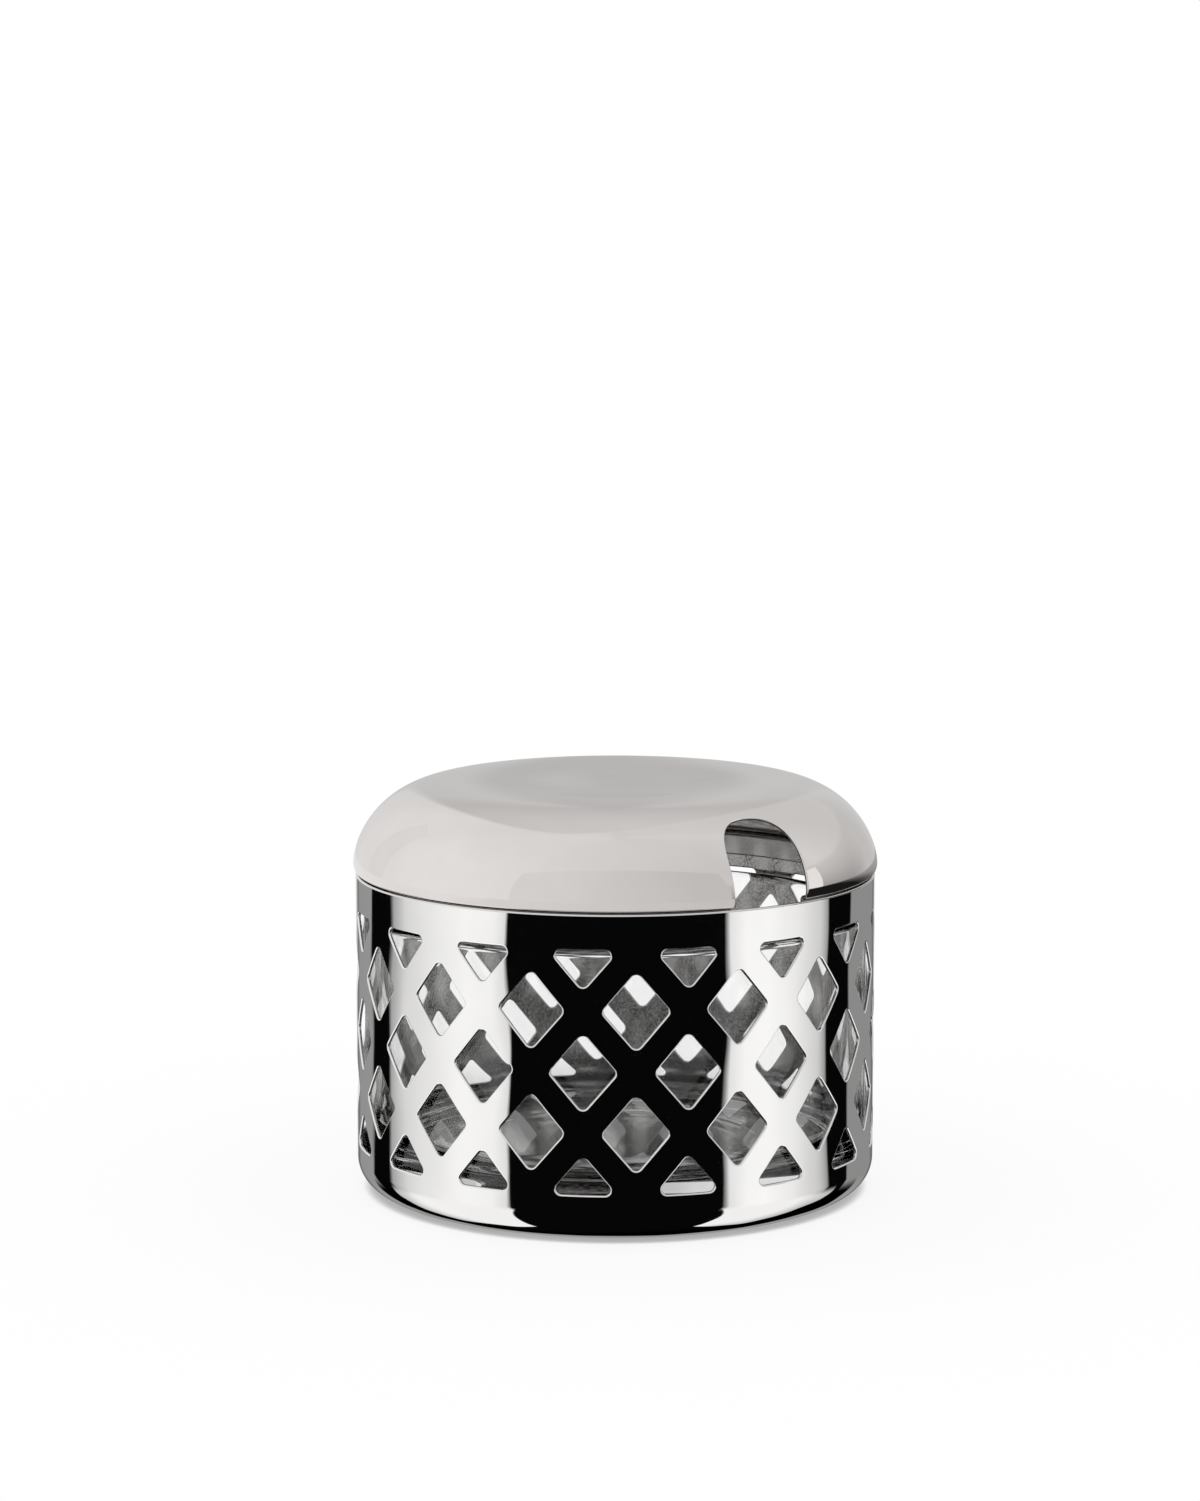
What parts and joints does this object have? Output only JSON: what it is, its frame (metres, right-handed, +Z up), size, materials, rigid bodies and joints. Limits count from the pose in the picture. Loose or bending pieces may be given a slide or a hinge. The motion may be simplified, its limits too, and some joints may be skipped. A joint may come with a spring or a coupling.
{
  "type": "cheese cellar",
  "caption": "Table cheese cellar: a round steel holder with a pierced lozenge wall, a clear glass bowl that lifts out of it and a domed steel lid with a notch for a spoon.",
  "frame": {"origin": "centre of the holder's base, on the surface that it stands on", "axes": "+Z up along the axis of the holder, bowl and lid; -Y towards the spoon notch in the lid"},
  "size_m": [0.115, 0.1145, 0.09],
  "materials": {
    "holder_steel": "mirror polished stainless steel outside, fine brushed inside",
    "bowl_glass": "clear pressed glass with a fire polished rim",
    "lid_steel": "mirror polished stainless steel"
  },
  "bodies": {
    "holder": {"pierced_holder": "holder_steel"},
    "bowl": {"glass_bowl": "bowl_glass"},
    "lid": {"lid": "lid_steel"}
  },
  "joints": [
    {"name": "bowl_lift", "type": "slide", "parent": "holder", "child": "bowl", "axis": [0, 0, 1], "range_m": [0, 0.075]},
    {"name": "lid_lift", "type": "slide", "parent": "bowl", "child": "lid", "axis": [0, 0, 1], "range_m": [0, 0.06]}
  ]
}
